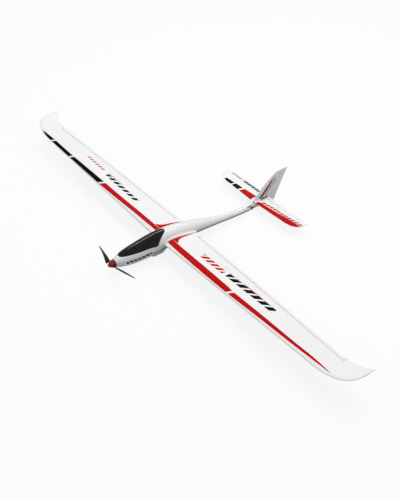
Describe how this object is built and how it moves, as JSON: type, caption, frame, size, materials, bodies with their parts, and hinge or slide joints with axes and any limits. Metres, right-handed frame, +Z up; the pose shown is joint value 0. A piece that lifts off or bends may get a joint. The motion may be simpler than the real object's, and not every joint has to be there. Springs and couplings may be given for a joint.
{
  "type": "rc sailplane",
  "caption": "Electric radio-controlled thermal sailplane with folding propeller, lift-off canopy, moving ailerons, flaps, elevator and rudder.",
  "frame": {"origin": "on the centre plane, in the resting face of the belly skid, 7 mm ahead of the wing root leading edge", "axes": "+X towards the left (port) wing tip, +Y towards the tail, nose at -Y, +Z up"},
  "size_m": [2.4, 1.0773, 0.1695],
  "materials": {
    "foam_white": "satin",
    "shell_white": "gloss",
    "canopy_black": "gloss",
    "spinner_red": "gloss",
    "nylon_black": "satin",
    "nylon_white": "satin",
    "steel": "satin",
    "motor_can": "satin",
    "motor_base": "satin",
    "carbon": "satin",
    "plywood": "matte",
    "battery_wrap": "satin",
    "strap_web": "matte",
    "esc_sleeve": "satin",
    "receiver_case": "satin",
    "servo_case": "satin",
    "magnet": "polished",
    "tyre": "matte"
  },
  "bodies": {
    "airframe": {"fuselage_shell": "shell_white", "belly_skid": "shell_white", "motor_mount": "motor_base", "motor_mount_screws": "steel", "motor_stator": "motor_base", "esc": "esc_sleeve", "battery": "battery_wrap", "battery_strap": "strap_web", "receiver": "receiver_case", "equipment_tray": "plywood", "elevator_servo": "servo_case", "rudder_servo": "servo_case", "fuselage_magnets": "magnet", "wing_joiner_tube": "carbon", "left_wing": "foam_white", "right_wing": "foam_white", "left_root_rib": "nylon_black", "right_root_rib": "nylon_black", "wing_screws": "steel", "left_aileron_servo": "servo_case", "right_aileron_servo": "servo_case", "left_flap_servo": "servo_case", "right_flap_servo": "servo_case", "stabilizer": "foam_white", "stabilizer_screws": "steel", "tail_wheel_axle": "steel"},
    "propeller": {"motor_rotor": "motor_can", "prop_yoke": "nylon_black", "spinner_cone": "spinner_red", "spinner_screw": "steel", "blade_pins": "steel"},
    "port_blade": {"port_blade": "nylon_black"},
    "starboard_blade": {"starboard_blade": "nylon_black"},
    "canopy": {"canopy_hatch": "canopy_black", "canopy_magnets": "magnet"},
    "tail_wheel": {"tail_wheel": "tyre"},
    "elevator": {"elevator": "foam_white", "elevator_horn": "nylon_black"},
    "rudder": {"rudder": "foam_white", "rudder_horn": "nylon_black"},
    "left_aileron": {"left_aileron": "foam_white", "left_aileron_horn": "nylon_black"},
    "left_aileron_arm": {"left_aileron_servo_arm": "nylon_white"},
    "left_aileron_rod": {"left_aileron_pushrod": "steel"},
    "left_flap": {"left_flap": "foam_white", "left_flap_horn": "nylon_black"},
    "left_flap_arm": {"left_flap_servo_arm": "nylon_white"},
    "left_flap_rod": {"left_flap_pushrod": "steel"},
    "right_aileron": {"right_aileron": "foam_white", "right_aileron_horn": "nylon_black"},
    "right_aileron_arm": {"right_aileron_servo_arm": "nylon_white"},
    "right_aileron_rod": {"right_aileron_pushrod": "steel"},
    "right_flap": {"right_flap": "foam_white", "right_flap_horn": "nylon_black"},
    "right_flap_arm": {"right_flap_servo_arm": "nylon_white"},
    "right_flap_rod": {"right_flap_pushrod": "steel"},
    "elevator_arm": {"elevator_servo_arm": "nylon_white"},
    "elevator_rod": {"elevator_pushrod": "steel"},
    "rudder_arm": {"rudder_servo_arm": "nylon_white"},
    "rudder_rod": {"rudder_pushrod": "steel"}
  },
  "joints": [
    {"name": "prop_spin", "type": "hinge", "parent": "airframe", "child": "propeller", "pos_m": [0, -0.2455, 0.065], "axis": [0, 1, 0], "continuous": true},
    {"name": "port_blade_fold", "type": "hinge", "parent": "propeller", "child": "port_blade", "pos_m": [0.0135, -0.2455, 0.065], "axis": [0, 0, 1], "range_deg": [-9, 34]},
    {"name": "starboard_blade_fold", "type": "hinge", "parent": "propeller", "child": "starboard_blade", "pos_m": [-0.0135, -0.2455, 0.065], "axis": [0, 0, -1], "range_deg": [-9, 34]},
    {"name": "canopy_lift", "type": "slide", "parent": "airframe", "child": "canopy", "axis": [0, 0, 1], "range_m": [0, 0.06]},
    {"name": "tail_wheel_spin", "type": "hinge", "parent": "airframe", "child": "tail_wheel", "pos_m": [0, 0.579, 0.0045], "axis": [1, 0, 0], "continuous": true},
    {"name": "left_aileron_hinge", "type": "hinge", "parent": "airframe", "child": "left_aileron", "pos_m": [0.73432, 0.13967, 0.10334], "axis": [0.9971, -0.0589, 0.0478], "range_deg": [-20, 20]},
    {"name": "left_aileron_arm_turn", "type": "hinge", "parent": "airframe", "child": "left_aileron_arm", "pos_m": [0.73103, 0.08377, 0.10318], "axis": [0.9971, -0.0589, 0.0478], "range_deg": [-20, 20]},
    {"name": "left_aileron_rod_swing", "type": "hinge", "parent": "left_aileron_arm", "child": "left_aileron_rod", "pos_m": [0.7318, 0.08377, 0.0872], "axis": [0.9971, -0.0589, 0.0478], "range_deg": [-20, 20]},
    {"name": "left_flap_hinge", "type": "hinge", "parent": "airframe", "child": "left_flap", "pos_m": [0.23773, 0.16432, 0.08075], "axis": [-0.9982, 0.0412, -0.0432], "range_deg": [0, 40]},
    {"name": "left_flap_arm_turn", "type": "hinge", "parent": "airframe", "child": "left_flap_arm", "pos_m": [0.23518, 0.10237, 0.08064], "axis": [-0.9982, 0.0412, -0.0432], "range_deg": [0, 40]},
    {"name": "left_flap_rod_swing", "type": "hinge", "parent": "left_flap_arm", "child": "left_flap_rod", "pos_m": [0.23587, 0.10237, 0.06466], "axis": [-0.9982, 0.0412, -0.0432], "range_deg": [-40, 0]},
    {"name": "right_aileron_hinge", "type": "hinge", "parent": "airframe", "child": "right_aileron", "pos_m": [-0.73432, 0.13967, 0.10334], "axis": [0.9971, 0.0589, -0.0478], "range_deg": [-20, 20]},
    {"name": "right_aileron_arm_turn", "type": "hinge", "parent": "airframe", "child": "right_aileron_arm", "pos_m": [-0.73103, 0.08377, 0.10318], "axis": [0.9971, 0.0589, -0.0478], "range_deg": [-20, 20]},
    {"name": "right_aileron_rod_swing", "type": "hinge", "parent": "right_aileron_arm", "child": "right_aileron_rod", "pos_m": [-0.7318, 0.08377, 0.0872], "axis": [0.9971, 0.0589, -0.0478], "range_deg": [-20, 20]},
    {"name": "right_flap_hinge", "type": "hinge", "parent": "airframe", "child": "right_flap", "pos_m": [-0.23773, 0.16432, 0.08075], "axis": [-0.9982, -0.0412, 0.0432], "range_deg": [0, 40]},
    {"name": "right_flap_arm_turn", "type": "hinge", "parent": "airframe", "child": "right_flap_arm", "pos_m": [-0.23518, 0.10237, 0.08064], "axis": [-0.9982, -0.0412, 0.0432], "range_deg": [0, 40]},
    {"name": "right_flap_rod_swing", "type": "hinge", "parent": "right_flap_arm", "child": "right_flap_rod", "pos_m": [-0.23587, 0.10237, 0.06466], "axis": [-0.9982, -0.0412, 0.0432], "range_deg": [-40, 0]},
    {"name": "elevator_hinge", "type": "hinge", "parent": "airframe", "child": "elevator", "pos_m": [0, 0.657, 0.042], "axis": [1, 0, 0], "range_deg": [-20, 20]},
    {"name": "elevator_arm_turn", "type": "hinge", "parent": "airframe", "child": "elevator_arm", "pos_m": [0.005, 0.108, 0.04585], "axis": [1, 0, 0], "range_deg": [-20, 20]},
    {"name": "elevator_rod_swing", "type": "hinge", "parent": "elevator_arm", "child": "elevator_rod", "pos_m": [0.005, 0.108, 0.05785], "axis": [1, 0, 0], "range_deg": [-20, 20]},
    {"name": "rudder_hinge", "type": "hinge", "parent": "airframe", "child": "rudder", "pos_m": [0, 0.69202, 0.01606], "axis": [0, 0.4101, 0.912], "range_deg": [-25, 25]},
    {"name": "rudder_arm_turn", "type": "hinge", "parent": "airframe", "child": "rudder_arm", "pos_m": [-0.002, 0.163, 0.066], "axis": [0, 0.4101, 0.912], "range_deg": [-25, 25]},
    {"name": "rudder_rod_swing", "type": "hinge", "parent": "rudder_arm", "child": "rudder_rod", "pos_m": [-0.016, 0.163, 0.066], "axis": [0, 0.4101, 0.912], "range_deg": [-25, 25]}
  ],
  "couplings": [
    {"joint": "left_aileron_arm_turn", "follows": "left_aileron_hinge", "ratio": 1},
    {"joint": "left_aileron_rod_swing", "follows": "left_aileron_hinge", "ratio": -1},
    {"joint": "left_flap_arm_turn", "follows": "left_flap_hinge", "ratio": 1},
    {"joint": "left_flap_rod_swing", "follows": "left_flap_hinge", "ratio": -1},
    {"joint": "right_aileron_hinge", "follows": "left_aileron_hinge", "ratio": -1},
    {"joint": "right_aileron_arm_turn", "follows": "left_aileron_hinge", "ratio": -1},
    {"joint": "right_aileron_rod_swing", "follows": "left_aileron_hinge", "ratio": 1},
    {"joint": "right_flap_hinge", "follows": "left_flap_hinge", "ratio": 1},
    {"joint": "right_flap_arm_turn", "follows": "left_flap_hinge", "ratio": 1},
    {"joint": "right_flap_rod_swing", "follows": "left_flap_hinge", "ratio": -1},
    {"joint": "elevator_arm_turn", "follows": "elevator_hinge", "ratio": 1},
    {"joint": "elevator_rod_swing", "follows": "elevator_hinge", "ratio": -1},
    {"joint": "rudder_arm_turn", "follows": "rudder_hinge", "ratio": 1},
    {"joint": "rudder_rod_swing", "follows": "rudder_hinge", "ratio": -1}
  ]
}
